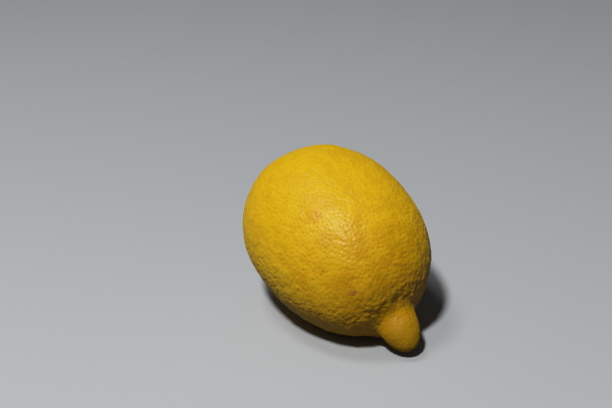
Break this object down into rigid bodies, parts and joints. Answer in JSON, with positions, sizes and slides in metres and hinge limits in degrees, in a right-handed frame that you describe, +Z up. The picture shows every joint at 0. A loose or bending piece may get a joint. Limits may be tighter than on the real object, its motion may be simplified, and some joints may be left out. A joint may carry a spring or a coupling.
{
  "type": "lemon",
  "caption": "Whole ripe lemon lying on its side, oval body with a blunt drooping nipple at one end and a dry calyx with a clipped stalk at the other.",
  "frame": {"origin": "middle of the lemon's box seen from above, at the surface that it lies on", "axes": "+X from the stem end towards the nipple along the surface, +Z up, +Y across; the fruit's own axis is tilted 13 degrees, nipple down"},
  "size_m": [0.084, 0.0612, 0.0623],
  "materials": {
    "peel": "satin",
    "dry_calyx": "matte"
  },
  "bodies": {
    "root": {"fruit": "peel", "calyx_button": "dry_calyx"}
  },
  "joints": []
}
